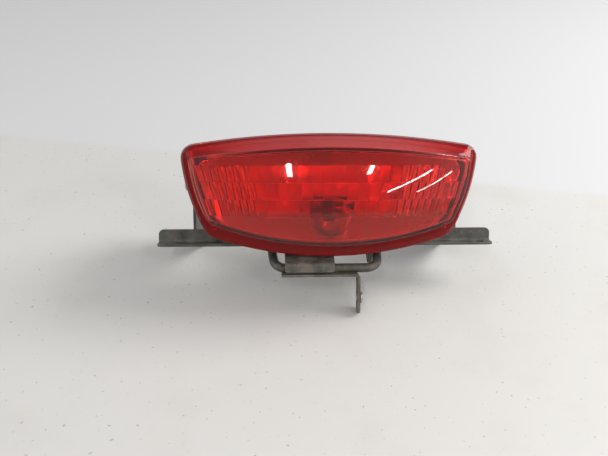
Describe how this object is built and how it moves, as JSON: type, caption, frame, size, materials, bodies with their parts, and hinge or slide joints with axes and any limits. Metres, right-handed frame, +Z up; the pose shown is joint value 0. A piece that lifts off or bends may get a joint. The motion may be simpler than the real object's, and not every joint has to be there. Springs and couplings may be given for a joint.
{
  "type": "tail light",
  "caption": "Motorcycle tail light: bowed red lens on a black housing with reflector and bayonet bulb holder, on a steel bracket with two drilled ears and a hanging tab.",
  "frame": {"origin": "middle of the bounding box in X and Y, on the surface that the lamp stands on", "axes": "+X along the crossbar to the viewer's right when looking at the lens, +Y away from that viewer, +Z up off the surface; the lamp leans back on the tab and the two cheek feet"},
  "size_m": [0.228, 0.0912, 0.11],
  "materials": {
    "painted_steel": "worn black-green paint, dusty",
    "worn_steel": "worn paint with brown surface rust",
    "zinc_steel": "dull zinc plating",
    "black_plastic": "moulded black plastic, faintly grained",
    "rubber": "matt black rubber",
    "reflector_mirror": "vacuum-metallised plastic",
    "red_lens": "clear red acrylic, glossy, lightly scuffed",
    "brass": "dull brass",
    "phenolic": "brown phenolic board",
    "solder": "dull solder",
    "bulb_glass": "clear glass",
    "tungsten": "grey wire"
  },
  "bodies": {
    "lamp": {"bracket_crossbar": "painted_steel", "loop_bar": "painted_steel", "side_cheek_left": "painted_steel", "side_cheek_right": "painted_steel", "loop_strap": "worn_steel", "loop_gusset": "worn_steel", "tab_strip": "worn_steel", "tab_clinch_nut": "zinc_steel", "lens_screw_1": "zinc_steel", "lens_screw_2": "zinc_steel", "lens_screw_3": "zinc_steel", "lens_screw_4": "zinc_steel", "side_sleeve_left": "zinc_steel", "side_sleeve_right": "zinc_steel", "side_washer_left": "zinc_steel", "side_washer_right": "zinc_steel", "side_bolt_left": "zinc_steel", "side_bolt_right": "zinc_steel", "rear_housing": "black_plastic", "lens_gasket": "rubber", "side_bush_left": "rubber", "side_bush_right": "rubber", "reflector": "reflector_mirror", "lens": "red_lens"},
    "holder": {"holder_body": "black_plastic", "holder_seal": "rubber", "wire_boot": "rubber", "bulb_socket": "brass", "carrier_spring": "zinc_steel"},
    "carrier": {"contact_carrier": "phenolic", "carrier_contact_tail": "brass", "carrier_contact_stop": "brass"},
    "bulb": {"bulb_cap": "brass", "bulb_insulator": "black_plastic", "bulb_glass": "bulb_glass", "bulb_stem": "bulb_glass", "bulb_contact_tail": "solder", "bulb_contact_stop": "solder", "filament_tail": "tungsten", "filament_stop": "tungsten"}
  },
  "joints": [
    {"name": "holder_twist", "type": "hinge", "parent": "lamp", "child": "holder", "pos_m": [0, 0.00901, 0.04634], "axis": [0, 0.8891, -0.4577], "range_deg": [0, 40]},
    {"name": "bulb_push", "type": "slide", "parent": "holder", "child": "carrier", "axis": [0, 0.8891, -0.4577], "range_m": [0, 0.0021], "stiffness_N_per_m": 1500, "springref_m": -0.0015},
    {"name": "bulb_twist", "type": "hinge", "parent": "carrier", "child": "bulb", "pos_m": [0, 0.00901, 0.04634], "axis": [0, 0.8891, -0.4577], "range_deg": [0, 25]}
  ],
  "couplings": [
    {"joint": "bulb_twist", "follows": "bulb_push", "rad_per_m": 207.7}
  ]
}
